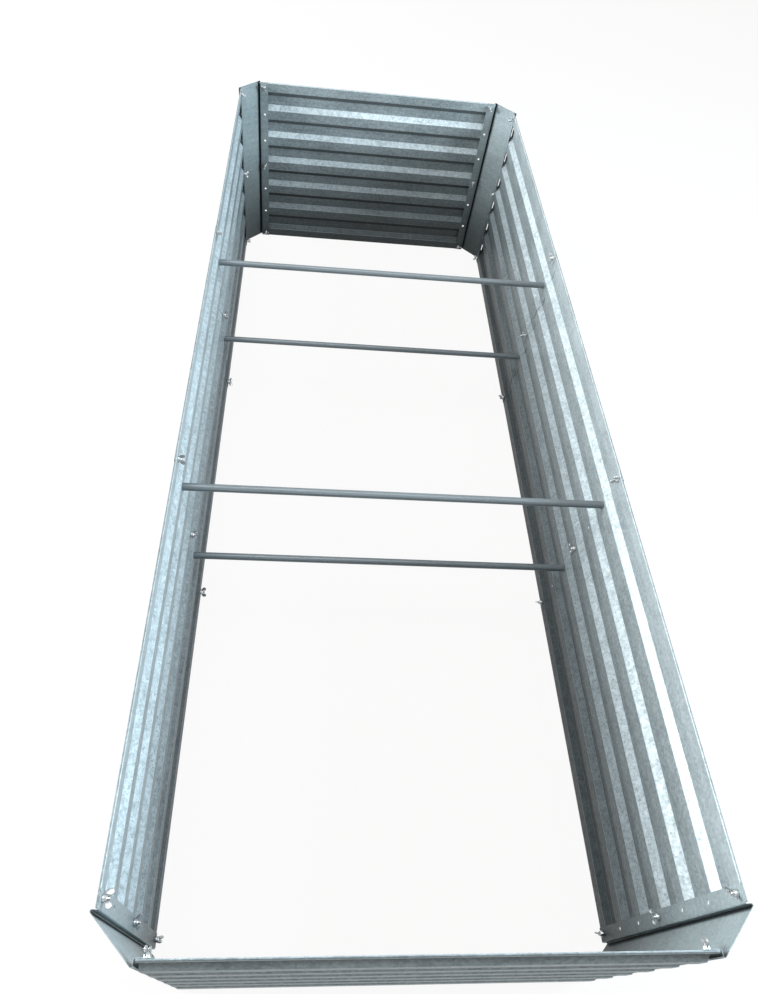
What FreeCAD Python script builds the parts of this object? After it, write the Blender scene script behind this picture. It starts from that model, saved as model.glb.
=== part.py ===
import FreeCAD, Part
import Sketcher
import os
from FreeCAD import Placement, Rotation, Vector

# Raised garden bed of corrugated galvanised sheet, in millimetres.
# Eight equal corrugated panels make the walls: one at each end and three lapped along each side.
# Four bent corner pieces join them with bolts and wing nuts, and four tie rods hold the long
# sides together. Origin: centre of the footprint on the ground. X is across, Y along, Z up.

# ---------------------------------------------------------------- sizes

SIZES = [
    # panels
    ("panel_length", 770.0),      # one corrugated panel, from cut end to cut end
    ("panel_sheet", 0.8),         # its metal
    ("rib_pitch", 88.0),          # from one row of holes to the next
    ("rib_count", 6),             # outward ribs in a panel
    ("rib_depth", 11.0),          # how far a rib stands out of the inner flats
    ("inner_flat", 29.0),         # height of the flats that face the soil
    ("slant_height", 15.0),       # height of the sloping web between two flats
    ("edge_margin", 13.5),        # from the end rows of holes to the panel's edge
    ("hem_height", 7.0),          # length of the edge folded back outside
    ("hem_gap", 2.4),             # room inside that fold
    ("hem_relief", 2.0),          # room between two hems at a lap
    # corner pieces
    ("corner_leg", 67.5),         # what the flat chamfer takes off each side of the corner
    ("corner_jog", 13.0),         # how far the chamfer stands outside the flanges
    ("corner_sheet", 1.0),        # metal of the corner pieces
    ("flange_width", 25.0),       # flange bolted inside a panel's end
    ("end_gap", 2.0),             # from a panel's cut end to the corner piece's jog
    # bolting
    ("hole_diameter", 7.0),
    ("hole_sides", 8),            # small holes are many, so they are drawn with few sides, not round
    ("hole_inset", 12.0),         # from a column of holes to the panel's cut end
    ("lap_clearance", 0.1),       # room between the webs of two nested panels
    ("bolt_diameter", 6.0),
    ("bolt_length", 12.0),
    ("rod_bolt_length", 25.0),
    ("thread_sides", 6),          # few sides too, for shanks and the bores they are screwed into
    ("thread_clearance", 0.3),    # radial room round a shank
    ("head_diameter", 12.0),
    ("head_height", 3.0),
    ("head_taper", 35.0),         # degrees by which a head's side leans in
    ("head_sides", 8),            # few sides too, for heads, bosses and plugs
    ("boss_diameter", 12.0),      # wing nut's seat
    ("boss_taper", 8.0),          # degrees by which the boss's side leans in
    ("boss_height", 7.0),
    ("wing_span", 26.0),          # across both wings
    ("wing_height", 14.0),        # from the seat to the wings' tops
    ("wing_thickness", 2.0),
    ("wing_foot", 1.5),           # height at which a wing leaves the boss
    ("wing_tip_foot", 6.0),       # height of its lower outer corner
    ("wing_tip_slope", 2.5),      # how far its outer edge leans in
    ("wing_top_width", 3.5),      # its flat top
    # tie rods
    ("rod_diameter", 16.0),
    ("rod_wall", 1.5),
    ("plug_length", 26.0),        # threaded plug in each end of a tube
    ("plug_clearance", 0.1),      # radial room round the plug
    ("upper_rod_row", 5),         # rows of holes that the rods use, counted from 0 at the ground
    ("lower_rod_row", 2),
]

doc = FreeCAD.newDocument("garden_bed")
sheet = doc.addObject("Spreadsheet::Sheet", "Sizes")
for row, (alias, value) in enumerate(SIZES, start=1):
    sheet.set(f"A{row}", alias)
    sheet.set(f"B{row}", str(value))
    sheet.setAlias(f"B{row}", alias)
doc.recompute()


def s(alias):
    """The expression that names a cell of the sheet."""
    return f"Sizes.{alias}"


def number(expression):
    """What an expression is worth now."""
    value = sheet.evalExpression(expression)
    return float(getattr(value, "Value", value))


# ---------------------------------------------------------------- derived places, as expressions

ROWS = f"({s('rib_count')} + 1)"
BED_HEIGHT = f"({s('rib_count')} * {s('rib_pitch')} + 2 * {s('edge_margin')})"
# A corner takes its leg and the gap off each end of a run of panels.
CORNER_RUN = f"({s('corner_leg')} + {s('end_gap')})"
HALF_WIDTH = f"({s('panel_length')} / 2 + {CORNER_RUN})"
HALF_LENGTH = f"({s('panel_length')} * 1.5 - 2 * {s('hole_inset')} + {CORNER_RUN})"
# Inner faces of the panels' inner flats.
SIDE_WALL = f"({HALF_WIDTH} - {s('corner_jog')})"
END_WALL = f"({HALF_LENGTH} - {s('corner_jog')})"
# Columns of holes, from the middle of a wall: the bolts at the corners and at the side seams.
HOLE_COLUMN = f"({s('panel_length')} / 2 - {s('hole_inset')})"
SEAM = HOLE_COLUMN
SIDE_CORNER_COLUMN = f"({HALF_LENGTH} - {CORNER_RUN} - {s('hole_inset')})"
END_CORNER_COLUMN = HOLE_COLUMN
OUTER_PANEL_PLACE = f"({HOLE_COLUMN} * 2)"
# Two equal corrugated sheets nest when the outer one moves out by the webs' own width.
WEB_LENGTH = f"sqrt({s('rib_depth')} ^ 2 + {s('slant_height')} ^ 2)"
LAP_STEP = f"({s('panel_sheet')} * {WEB_LENGTH} / {s('slant_height')} + {s('lap_clearance')})"
HEM_DEPTH = f"(2 * {s('panel_sheet')} + {s('hem_gap')})"
BORE = f"({s('bolt_diameter')} + 2 * {s('thread_clearance')})"


# ---------------------------------------------------------------- helpers

def new_body(name):
    return doc.addObject("PartDesign::Body", name)


def origin_plane(body, role):
    for feature in body.Origin.OriginFeatures:
        if feature.Role == role:
            return feature
    raise ValueError(role)


def new_sketch(body, role, name):
    sketch = body.newObject("Sketcher::SketchObject", name)
    sketch.AttachmentSupport = [(origin_plane(body, role), "")]
    sketch.MapMode = "FlatFace"
    return sketch


def hold(sketch, geometry, point, x, y):
    """Hold a point of a sketch at two expressions, measured from the sketch's origin."""
    vertical_axis, horizontal_axis = -2, -1
    for kind, expression, axis in (("DistanceX", x, vertical_axis), ("DistanceY", y, horizontal_axis)):
        if expression is None:
            continue
        if expression == "0":
            sketch.addConstraint(Sketcher.Constraint("PointOnObject", geometry, point, axis))
            continue
        value = number(expression)
        index = sketch.addConstraint(Sketcher.Constraint(kind, -1, 1, geometry, point, value))
        sketch.setExpression(f"Constraints[{index}]", expression)


def draw_outline(sketch, corners):
    """Closed outline of straight edges through corners (x, y)."""
    spots = [Vector(number(x), number(y), 0) for x, y in corners]
    first = sketch.GeometryCount
    for i, spot in enumerate(spots):
        sketch.addGeometry(Part.LineSegment(spot, spots[(i + 1) % len(spots)]), False)
    for i in range(len(corners)):
        after = (i + 1) % len(corners)
        sketch.addConstraint(Sketcher.Constraint("Coincident", first + i, 2, first + after, 1))
    for i, (x, y) in enumerate(corners):
        hold(sketch, first + i, 1, x, y)


def draw_polygon(sketch, x, y, diameter, sides, around=False):
    """Regular polygon for a small round shape: inside the circle of that diameter, or, for a hole,
    around it, so that what fits the circle passes."""
    step = f"360 / {sides}"
    radius = f"{diameter} / 2 / cos({step} / 2)" if around else f"{diameter} / 2"
    count = round(number(sides))
    angles = [f"{step} * {i} + {step} / 2" for i in range(count)]
    draw_outline(sketch, [(f"{x} + {radius} * cos({a})", f"{y} + {radius} * sin({a})") for a in angles])


def draw_hole(sketch, x, y):
    draw_polygon(sketch, x, y, s("hole_diameter"), s("hole_sides"), around=True)


def draw_bore(sketch):
    draw_polygon(sketch, "0", "0", BORE, s("thread_sides"), around=True)


def draw_circle(sketch, x, y, diameter):
    centre = Vector(number(x), number(y), 0)
    circle = sketch.addGeometry(Part.Circle(centre, Vector(0, 0, 1), number(diameter) / 2), False)
    hold(sketch, circle, 3, x, y)
    index = sketch.addConstraint(Sketcher.Constraint("Diameter", circle, number(diameter)))
    sketch.setExpression(f"Constraints[{index}]", diameter)


def pad(body, sketch, length, name, symmetric=False, reverse=False, lean_in=None):
    feature = body.newObject("PartDesign::Pad", name)
    feature.Profile = sketch
    feature.setExpression("Length", length)
    feature.Midplane = symmetric
    feature.Reversed = reverse
    if lean_in:
        feature.setExpression("TaperAngle", f"-{lean_in}")
    body.Tip = feature
    doc.recompute()
    return feature


def cut_through(body, sketch, name, both_ways=True):
    """Pocket right through the body, which has to lose metal by it: both ways from the sketch, or
    only the way that the sketch faces."""
    before = body.Shape.Volume
    feature = body.newObject("PartDesign::Pocket", name)
    feature.Profile = sketch
    feature.Type = "ThroughAll"
    feature.Midplane = both_ways
    feature.Reversed = not both_ways
    body.Tip = feature
    doc.recompute()
    if feature.Shape.Volume >= before:
        raise RuntimeError(f"{body.Name}.{name} cuts nothing")
    return feature


def repeat_up(body, features, direction, occurrences, name):
    """Repeat features upwards, one rib pitch apart."""
    pattern = body.newObject("PartDesign::LinearPattern", name)
    pattern.Originals = features
    pattern.Direction = direction
    pattern.setExpression("Length", f"{s('rib_pitch')} * ({occurrences} - 1)")
    pattern.setExpression("Occurrences", occurrences)
    body.Tip = pattern
    doc.recompute()
    return pattern


def place(thing, x, y, z, turn):
    """Put an object at three expressions, turned about Z."""
    thing.Placement = Placement(Vector(0, 0, 0), Rotation(Vector(0, 0, 1), turn))
    for axis, expression in zip("xyz", (x, y, z)):
        thing.setExpression(f"Placement.Base.{axis}", expression)


def row_height(row):
    return f"({s('edge_margin')} + {row} * {s('rib_pitch')})"


# ---------------------------------------------------------------- corrugated panel

HALF_FLAT = f"{s('inner_flat')} / 2"
# How far, along the wall's height, a bend of the outer face lies from the inner face's bend.
BEND_SHIFT = f"({s('panel_sheet')} * ({WEB_LENGTH} - {s('slant_height')}) / {s('rib_depth')})"


def rib_section():
    """Section of one rib, from the middle of an inner flat to the middle of the next.
    x runs outwards from the inner face, y up from a row of holes."""
    flat_top = HALF_FLAT
    web_top = f"{HALF_FLAT} + {s('slant_height')}"
    web_below = f"{s('rib_pitch')} - {HALF_FLAT} - {s('slant_height')}"
    next_flat = f"{s('rib_pitch')} - {HALF_FLAT}"
    rib, metal = s("rib_depth"), s("panel_sheet")
    inner = [("0", "0"), ("0", flat_top), (rib, web_top), (rib, web_below),
             ("0", next_flat), ("0", s("rib_pitch"))]
    outer = [
        (metal, s("rib_pitch")),
        (metal, f"{next_flat} + {BEND_SHIFT}"),
        (f"{rib} + {metal}", f"{web_below} + {BEND_SHIFT}"),
        (f"{rib} + {metal}", f"{web_top} - {BEND_SHIFT}"),
        (metal, f"{flat_top} - {BEND_SHIFT}"),
        (metal, "0"),
    ]
    return inner + outer


def hem_section(up):
    """Section of a panel's edge: the end half of a flat, folded back outside.
    up is 1 for the top edge and -1 for the bottom one; y is measured from the row of holes."""
    metal, depth = s("panel_sheet"), HEM_DEPTH
    edge, inside = f"{up} * {s('edge_margin')}", f"{up} * ({s('edge_margin')} - {metal})"
    lip = f"{up} * ({s('edge_margin')} - {s('hem_height')})"
    return [
        ("0", "0"), ("0", edge), (depth, edge), (depth, lip),
        (f"{depth} - {metal}", lip), (f"{depth} - {metal}", inside), (metal, inside), (metal, "0"),
    ]


def make_panel(name, lap_side):
    """Corrugated panel. Its frame: x outwards from the inner face, y along, z up from the lowest
    row of holes. lap_side is the end, -1 or 1, where the panel lies inside its neighbour."""
    body = new_body(name)
    rib = new_sketch(body, "XZ_Plane", f"{name}_rib")
    draw_outline(rib, rib_section())
    one_rib = pad(body, rib, s("panel_length"), f"{name}_one_rib", symmetric=True)
    repeat_up(body, [one_rib], (rib, ["V_Axis"]), s("rib_count"), f"{name}_ribs")
    low_hem = new_sketch(body, "XZ_Plane", f"{name}_low_hem")
    draw_outline(low_hem, hem_section(-1))
    pad(body, low_hem, s("panel_length"), f"{name}_low_edge", symmetric=True)
    high_hem = new_sketch(body, "XZ_Plane", f"{name}_high_hem")
    high_hem.setExpression("AttachmentOffset.Base.y", f"{s('rib_count')} * {s('rib_pitch')}")
    draw_outline(high_hem, hem_section(1))
    pad(body, high_hem, s("panel_length"), f"{name}_high_edge", symmetric=True)

    if lap_side:
        trim_hems(body, name, lap_side)
    holes = new_sketch(body, "YZ_Plane", f"{name}_holes")
    draw_hole(holes, HOLE_COLUMN, "0")
    draw_hole(holes, f"-{HOLE_COLUMN}", "0")
    first_holes = cut_through(body, holes, f"{name}_first_holes")
    repeat_up(body, [first_holes], (holes, ["V_Axis"]), ROWS, f"{name}_hole_rows")
    return body


def trim_hems(body, name, lap_side):
    """Cut the folded edges back where the neighbouring panel lies over this one."""
    cut = new_sketch(body, "YZ_Plane", f"{name}_hem_cut")
    cut.setExpression("AttachmentOffset.Base.z", s("panel_sheet"))
    beyond = f"{lap_side} * ({s('panel_length')} / 2 + {s('end_gap')})"
    back = f"{lap_side} * ({s('panel_length')} / 2 - 2 * {s('hole_inset')} - {s('hem_relief')})"
    reach = f"({s('edge_margin')} + {s('end_gap')})"
    lip = f"({s('edge_margin')} - {s('hem_height')} - {s('hem_relief')})"
    top = f"{s('rib_count')} * {s('rib_pitch')}"
    for low, high in ((f"-{reach}", f"-{lip}"), (f"{top} + {lip}", f"{top} + {reach}")):
        draw_outline(cut, [(back, low), (beyond, low), (beyond, high), (back, high)])
    doc.recompute()
    cut_through(body, cut, f"{name}_trimmed_hems", both_ways=False)


# ---------------------------------------------------------------- corner piece

def corner_section():
    """Section of a corner piece in plan. The origin is where the bed's outer planes would meet,
    and the piece lies towards -x and -y of it."""
    leg, jog, metal = s("corner_leg"), s("corner_jog"), s("corner_sheet")
    flange_end = f"-{leg} - {s('flange_width')}"
    # The inner face of the chamfer's two bends, which turn through 135 degrees.
    tip = f"-{metal} * (1 + sqrt(2))"
    outer = [(f"-{jog}", flange_end), (f"-{jog}", f"-{leg}"), ("0", f"-{leg}"),
             (f"-{leg}", "0"), (f"-{leg}", f"-{jog}"), (flange_end, f"-{jog}")]
    inner = [(flange_end, f"-{jog} - {metal}"), (f"-{leg} + {metal}", f"-{jog} - {metal}"),
             (f"-{leg} + {metal}", tip), (tip, f"-{leg} + {metal}"),
             (f"-{jog} - {metal}", f"-{leg} + {metal}"), (f"-{jog} - {metal}", flange_end)]
    return outer + inner


def make_corner(name):
    body = new_body(name)
    section = new_sketch(body, "XY_Plane", f"{name}_section")
    draw_outline(section, corner_section())
    pad(body, section, BED_HEIGHT, f"{name}_sheet")

    column = f"-({CORNER_RUN} + {s('hole_inset')})"
    side_holes = new_sketch(body, "YZ_Plane", f"{name}_side_holes")
    draw_hole(side_holes, column, s("edge_margin"))
    side = cut_through(body, side_holes, f"{name}_first_side_hole")
    repeat_up(body, [side], (side_holes, ["V_Axis"]), ROWS, f"{name}_side_hole_rows")
    end_holes = new_sketch(body, "XZ_Plane", f"{name}_end_holes")
    draw_hole(end_holes, column, s("edge_margin"))
    end = cut_through(body, end_holes, f"{name}_first_end_hole")
    repeat_up(body, [end], (end_holes, ["V_Axis"]), ROWS, f"{name}_end_hole_rows")
    return body


# ---------------------------------------------------------------- tie rods

def make_tie_rod(name):
    """Tube along X, centred on its own origin."""
    body = new_body(name)
    ring = new_sketch(body, "YZ_Plane", f"{name}_ring")
    draw_circle(ring, "0", "0", s("rod_diameter"))
    draw_circle(ring, "0", "0", f"{s('rod_diameter')} - 2 * {s('rod_wall')}")
    pad(body, ring, f"2 * {SIDE_WALL}", f"{name}_tube", symmetric=True)
    return body


def make_plug(name):
    """Threaded plug of a tie rod's right end, with its outer end at x = 0."""
    body = new_body(name)
    outside = new_sketch(body, "YZ_Plane", f"{name}_outside")
    fit = f"({s('rod_diameter')} - 2 * ({s('rod_wall')} + {s('plug_clearance')}))"
    draw_polygon(outside, "0", "0", fit, s("head_sides"))
    pad(body, outside, s("plug_length"), f"{name}_block", reverse=True)
    bore = new_sketch(body, "YZ_Plane", f"{name}_bore")
    draw_bore(bore)
    cut_through(body, bore, f"{name}_bored")
    return body


# ---------------------------------------------------------------- fasteners

def make_bolt(name, length):
    """Pan-head bolt. The head's underside is at x = 0 and the shank points to -x."""
    body = new_body(name)
    rim = new_sketch(body, "YZ_Plane", f"{name}_rim")
    draw_polygon(rim, "0", "0", s("head_diameter"), s("head_sides"))
    pad(body, rim, s("head_height"), f"{name}_head", lean_in=s("head_taper"))
    shank = new_sketch(body, "YZ_Plane", f"{name}_shank_outline")
    draw_polygon(shank, "0", "0", s("bolt_diameter"), s("thread_sides"))
    pad(body, shank, length, f"{name}_shank", reverse=True)
    return body


def make_wing_nut(name):
    """Wing nut. Its seat is at x = 0, its top points to -x and its wings lie along z."""
    body = new_body(name)
    seat = new_sketch(body, "YZ_Plane", f"{name}_seat")
    draw_polygon(seat, "0", "0", s("boss_diameter"), s("head_sides"))
    pad(body, seat, s("boss_height"), f"{name}_boss", reverse=True, lean_in=s("boss_taper"))

    wings = new_sketch(body, "XZ_Plane", f"{name}_wing_outline")
    half_span = f"{s('wing_span')} / 2"
    # The wings start inside the boss's wall, midway between its bore and its seat's rim.
    root = f"({BORE} + {s('boss_diameter')}) / 4"
    tip = f"{half_span} - {s('wing_tip_slope')}"
    for side in (1, -1):
        draw_outline(wings, [
            (f"-{s('wing_foot')}", f"{side} * ({root})"),
            (f"-{s('wing_tip_foot')}", f"{side} * ({half_span})"),
            (f"-{s('wing_height')}", f"{side} * ({tip})"),
            (f"-{s('wing_height')}", f"{side} * ({tip} - {s('wing_top_width')})"),
            (f"-({s('boss_height')} - {s('wing_foot')})", f"{side} * ({root})"),
        ])
    pad(body, wings, s("wing_thickness"), f"{name}_wings", symmetric=True)
    bore = new_sketch(body, "YZ_Plane", f"{name}_bore")
    draw_bore(bore)
    cut_through(body, bore, f"{name}_bored")
    return body


# ---------------------------------------------------------------- the bed

# Each wall and each corner is a quarter turn on from the one before it.
WALLS = ("right", "far", "left", "near")
CORNERS = (("far", "right"), ("far", "left"), ("near", "left"), ("near", "right"))


def quarter_turns(names, name):
    return 360 / len(names) * names.index(name)


def on_wall(wall, out, along):
    """x and y of a point on a wall: out from the wall's inner face, along towards +X or +Y."""
    if wall in ("right", "left"):
        sign = "" if wall == "right" else "-"
        return f"{sign}({SIDE_WALL} + {out})", along
    sign = "" if wall == "far" else "-"
    return along, f"{sign}({END_WALL} + {out})"


def place_on_wall(thing, wall, out, along, height):
    x, y = on_wall(wall, out, along)
    place(thing, x, y, height, quarter_turns(WALLS, wall))


nodes = []


def keep(thing):
    thing.Label = thing.Name
    nodes.append(thing)


def add_corners():
    for end, y_sign in (("near", -1), ("far", 1)):
        for side, x_sign in (("left", -1), ("right", 1)):
            corner = make_corner(f"corner_{end}_{side}")
            turn = quarter_turns(CORNERS, (end, side))
            place(corner, f"{x_sign} * {HALF_WIDTH}", f"{y_sign} * {HALF_LENGTH}", "0", turn)
            keep(corner)


def add_panels():
    for end in ("near", "far"):
        panel = make_panel(f"end_panel_{end}", lap_side=0)
        place_on_wall(panel, end, "0", "0", s("edge_margin"))
        keep(panel)
    for side, mirror in (("left", -1), ("right", 1)):
        for spot, place_sign in (("near", -1), ("middle", 0), ("far", 1)):
            # The outer panels' laps face the middle of the bed; a left panel is turned about.
            panel = make_panel(f"side_panel_{side}_{spot}", lap_side=-place_sign * mirror)
            out = LAP_STEP if spot == "middle" else "0"
            place_on_wall(panel, side, out, f"{place_sign} * {OUTER_PANEL_PLACE}", s("edge_margin"))
            keep(panel)


def set_of(name, master, places):
    """A node of equal fasteners. places holds (wall, out, along, height, turn about its own axis)."""
    links = []
    for i, (wall, out, along, height, turn) in enumerate(places, start=1):
        link = doc.addObject("App::Link", f"{name}_{i}")
        link.LinkedObject = master
        x, y = on_wall(wall, out, along)
        link.Placement = Placement(Vector(0, 0, 0), Rotation(Vector(0, 0, 1), quarter_turns(WALLS, wall))
                                   * Rotation(Vector(1, 0, 0), turn))
        for axis, expression in zip("xyz", (x, y, height)):
            link.setExpression(f"Placement.Base.{axis}", expression)
        links.append(link)
    group = doc.addObject("Part::Compound", name)
    group.Links = links
    keep(group)


# Rows that are bolted, as counted from 0 at the ground, and how each wing nut happens to stand.
BOLTED_ROWS = ["0", f"{s('rib_count')} / 2", s("rib_count")]
WING_TURNS = {"near": (35, 110, 10), "far": (70, 20, 135), "left": (150, 65, 100), "right": (15, 80, 40)}


def add_corner_fasteners(bolt, wing_nut):
    for end, y_sign in (("near", -1), ("far", 1)):
        for side, x_sign in (("left", -1), ("right", 1)):
            columns = ((side, f"{y_sign} * {SIDE_CORNER_COLUMN}"), (end, f"{x_sign} * {END_CORNER_COLUMN}"))
            bolts, nuts = [], []
            for wall, along in columns:
                for row, turn in zip(BOLTED_ROWS, WING_TURNS[wall]):
                    bolts.append((wall, s("panel_sheet"), along, row_height(row), 0))
                    nuts.append((wall, f"-{s('corner_sheet')}", along, row_height(row), turn))
            set_of(f"corner_bolts_{end}_{side}", bolt, bolts)
            set_of(f"corner_wing_nuts_{end}_{side}", wing_nut, nuts)


def add_seam_fasteners(bolt, wing_nut):
    for side in ("left", "right"):
        for end, y_sign in (("near", -1), ("far", 1)):
            along = f"{y_sign} * {SEAM}"
            bolts, nuts = [], []
            for row, turn in zip(BOLTED_ROWS, WING_TURNS[end]):
                bolts.append((side, f"{LAP_STEP} + {s('panel_sheet')}", along, row_height(row), 0))
                nuts.append((side, "0", along, row_height(row), turn))
            set_of(f"seam_bolts_{side}_{end}", bolt, bolts)
            set_of(f"seam_wing_nuts_{side}_{end}", wing_nut, nuts)


def add_tie_rods(bolt, plug):
    for end, y_sign in (("near", -1), ("far", 1)):
        along = f"{y_sign} * {SEAM}"
        for level in ("upper", "lower"):
            height = row_height(s(f"{level}_rod_row"))
            rod = make_tie_rod(f"tie_rod_{end}_{level}")
            place(rod, "0", along, height, 0)
            keep(rod)
            plugs = [(side, "0", along, height, 0) for side in ("left", "right")]
            set_of(f"rod_plugs_{end}_{level}", plug, plugs)
            out = f"{LAP_STEP} + {s('panel_sheet')}"
            bolts = [(side, out, along, height, 0) for side in ("left", "right")]
            set_of(f"rod_bolts_{end}_{level}", bolt, bolts)


add_corners()
add_panels()
short_bolt = make_bolt("short_bolt", s("bolt_length"))
rod_bolt = make_bolt("rod_bolt", s("rod_bolt_length"))
wing_nut_model = make_wing_nut("wing_nut")
plug_model = make_plug("rod_plug")
add_corner_fasteners(short_bolt, wing_nut_model)
add_seam_fasteners(short_bolt, wing_nut_model)
add_tie_rods(rod_bolt, plug_model)

# ---------------------------------------------------------------- checks and export

doc.recompute()
for item in doc.Objects:
    if "Invalid" in item.State or "Error" in item.State:
        raise RuntimeError(f"{item.Name} failed: {item.State}")
for node in nodes:
    if node.Shape.isNull() or not node.Shape.isValid():
        raise RuntimeError(f"{node.Label} has no valid shape")

os.makedirs("parts", exist_ok=True)
for node in nodes:
    node.Shape.exportStep(f"parts/{node.Label}.step")
whole = Part.makeCompound([node.Shape for node in nodes]).BoundBox
solids = sum(len(node.Shape.Solids) for node in nodes)
size = f"{whole.XLength:.1f} x {whole.YLength:.1f} x {whole.ZLength:.1f} mm"
print(f"{len(nodes)} nodes, {solids} solids, {size}")
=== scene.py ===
# %% [markdown]
# A raised garden bed of corrugated galvanised sheet, seen from above its near end. The packed CAD
# part is the fixed frame: every place below is read from it, in metres, with X across the bed, Y
# along it and Z up. The script dresses that frame with rounder, more finely made pieces.

# %% The frame
import math
import bpy
import bmesh
from mathutils import Matrix, Vector


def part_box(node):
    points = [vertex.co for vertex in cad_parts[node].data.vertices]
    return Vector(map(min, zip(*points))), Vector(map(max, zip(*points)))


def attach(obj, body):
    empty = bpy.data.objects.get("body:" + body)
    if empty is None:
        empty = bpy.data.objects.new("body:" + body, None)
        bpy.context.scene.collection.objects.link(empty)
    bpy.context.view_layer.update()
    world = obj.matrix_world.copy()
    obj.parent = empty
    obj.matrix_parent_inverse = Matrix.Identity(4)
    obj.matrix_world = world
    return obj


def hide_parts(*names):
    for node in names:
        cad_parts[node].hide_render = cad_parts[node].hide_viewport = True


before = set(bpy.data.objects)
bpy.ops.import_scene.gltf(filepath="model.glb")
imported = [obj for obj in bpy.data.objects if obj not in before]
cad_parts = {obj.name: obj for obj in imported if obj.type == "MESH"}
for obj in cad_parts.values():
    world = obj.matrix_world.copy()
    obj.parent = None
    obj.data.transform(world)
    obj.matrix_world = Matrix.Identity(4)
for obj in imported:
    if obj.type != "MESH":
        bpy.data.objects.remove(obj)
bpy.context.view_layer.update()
print("frame nodes:", len(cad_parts))

# %% [markdown]
# The walls repeat one pitch upwards and one panel along, so a few lengths give every place. The
# panels' inner faces, the lap between two panels and the height come from the boxes of the nodes;
# the pitch, the flats and the hems are the sizes that the CAD source has as well.

# %% Sizes
MM = 0.001
RIB_COUNT, PITCH = 6, 88 * MM
INNER_FLAT, SLANT_HEIGHT, RIB_DEPTH = 29 * MM, 15 * MM, 11 * MM
PANEL_SHEET, CORNER_SHEET = 0.8 * MM, 1.0 * MM
RIB_BEND, CORNER_BEND = 2.4 * MM, 1.4 * MM
HEM_HEIGHT, HEM_DEPTH = 7 * MM, 4 * MM
HOLE_RADIUS, HOLE_INSET = 3.5 * MM, 12 * MM
FLANGE_WIDTH, CORNER_LEG, CORNER_JOG = 25 * MM, 67.5 * MM, 13 * MM

low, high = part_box("end_panel_far")
BED_HEIGHT = high.z
END_WALL = low.y
PANEL_LENGTH = high.x - low.x
EDGE_MARGIN = (BED_HEIGHT - RIB_COUNT * PITCH) / 2
low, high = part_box("side_panel_right_far")
SIDE_WALL = low.x
OUTER_PANEL_PLACE = (low.y + high.y) / 2
LAP_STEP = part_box("side_panel_right_middle")[0].x - SIDE_WALL
HALF_WIDTH, HALF_LENGTH = SIDE_WALL + CORNER_JOG, END_WALL + CORNER_JOG
HOLE_COLUMN = PANEL_LENGTH / 2 - HOLE_INSET
SIDE_CORNER_COLUMN = OUTER_PANEL_PLACE + HOLE_COLUMN
ROWS = [EDGE_MARGIN + row * PITCH for row in range(RIB_COUNT + 1)]
BOLTED_ROWS = (ROWS[0], ROWS[3], ROWS[6])
print("walls at", round(SIDE_WALL, 4), round(END_WALL, 4), "height", round(BED_HEIGHT, 4))

# %% [markdown]
# Shader maths reads best as sums, so a small class wraps a socket and lets Python's own operators
# add the Math nodes. A second class holds one material: its node method makes any other node,
# settings first and inputs after, and a few short methods name what the finishes below ask for.


# %% Numbers that vary over a surface
class Value:
    """A number that varies over a surface: arithmetic on it adds Math nodes."""

    def __init__(self, material, socket):
        self.material, self.socket = material, socket

    def _math(self, operation, *values):
        return self.material.node("ShaderNodeMath", {"operation": operation}, dict(enumerate(values)))

    def __add__(self, other):
        return self._math("ADD", self, other)

    def __sub__(self, other):
        return self._math("SUBTRACT", self, other)

    def __rsub__(self, other):
        return self._math("SUBTRACT", other, self)

    def __mul__(self, other):
        return self._math("MULTIPLY", self, other)

    def __abs__(self):
        return self._math("ABSOLUTE", self)

    __radd__, __rmul__ = __add__, __mul__

    def between(self, start, end):
        """0 below start, 1 above end and a smooth climb between them."""
        limits = {"Value": self, "From Min": start, "From Max": end}
        return self.material.node("ShaderNodeMapRange", {"interpolation_type": "SMOOTHSTEP"}, limits)


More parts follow.
